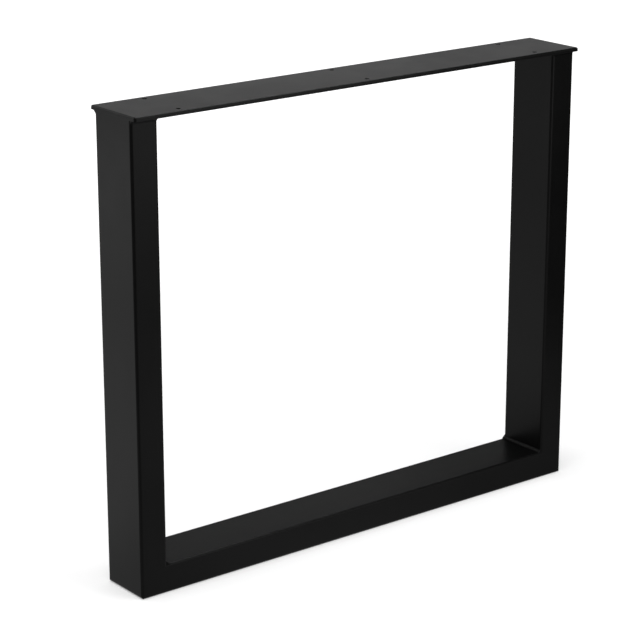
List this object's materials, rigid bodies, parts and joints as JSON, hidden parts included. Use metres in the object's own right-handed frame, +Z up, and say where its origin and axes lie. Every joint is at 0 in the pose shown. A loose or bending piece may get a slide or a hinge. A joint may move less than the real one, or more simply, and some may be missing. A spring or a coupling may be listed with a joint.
{
  "type": "table frame",
  "caption": "Welded steel table leg frame of rectangular tube: uprights mitred to a floor bar, under a flat plate with screw holes for a table top.",
  "frame": {"origin": "on the floor, at the middle of the underside of the bottom tube", "axes": "+X along the frame's length, +Y through its depth, +Z up towards the table top"},
  "size_m": [0.84, 0.112, 0.72],
  "materials": {
    "plate_coat": "fine satin black powder coat on flat steel bar",
    "tube_coat": "fine satin black powder coat on drawn steel tube",
    "weld_coat": "satin black powder coat over rippled fillet weld"
  },
  "bodies": {
    "root": {"mounting_plate": "plate_coat", "bottom_tube": "tube_coat", "left_upright": "tube_coat", "right_upright": "tube_coat", "left_plate_weld": "weld_coat", "right_plate_weld": "weld_coat", "left_corner_weld": "weld_coat", "right_corner_weld": "weld_coat"}
  },
  "joints": []
}
